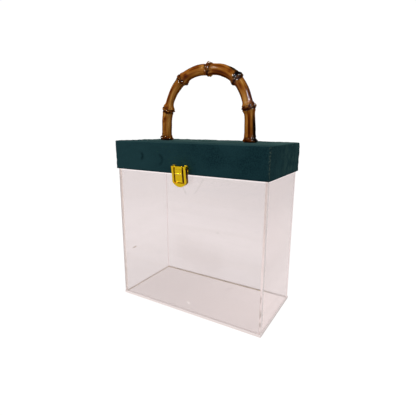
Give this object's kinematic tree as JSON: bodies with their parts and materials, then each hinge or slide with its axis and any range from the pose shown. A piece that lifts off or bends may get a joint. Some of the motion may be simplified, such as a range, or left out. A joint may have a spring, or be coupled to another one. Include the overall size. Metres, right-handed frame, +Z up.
{
  "type": "box handbag",
  "caption": "Clear acrylic box handbag with a hinged velvet-covered lid, an arched bamboo handle on the lid and a gilt swing clasp at the front.",
  "frame": {"origin": "middle of the floor sheet's underside, on the ground", "axes": "+Z up, -Y towards the front with the clasp, +X towards the bag's right-hand end as seen from the front"},
  "size_m": [0.2052, 0.1151, 0.2994],
  "materials": {
    "acrylic": "clear, polished",
    "velvet": "short pile velvet",
    "bamboo": "lacquered, with scorched patches",
    "gilt": "polished"
  },
  "bodies": {
    "box": {"acrylic_floor": "acrylic", "acrylic_front": "acrylic", "acrylic_back": "acrylic", "acrylic_left": "acrylic", "acrylic_right": "acrylic", "clasp_catch": "gilt", "hinge_left_box_leaf": "gilt", "hinge_right_box_leaf": "gilt"},
    "lid": {"velvet_lid": "velvet", "bamboo_handle": "bamboo", "handle_screw_left": "gilt", "handle_screw_right": "gilt", "clasp_lid_plate": "gilt", "hinge_left_lid_leaf": "gilt", "hinge_right_lid_leaf": "gilt"},
    "flap": {"clasp_flap": "gilt"}
  },
  "joints": [
    {"name": "lid_hinge", "type": "hinge", "parent": "box", "child": "lid", "pos_m": [0, 0.0545, 0.174], "axis": [-1, 0, 0], "range_deg": [0, 175]},
    {"name": "flap_pivot", "type": "hinge", "parent": "lid", "child": "flap", "pos_m": [-0.0014, -0.0573, 0.1824], "axis": [-1, 0, 0], "range_deg": [0, 150]}
  ]
}
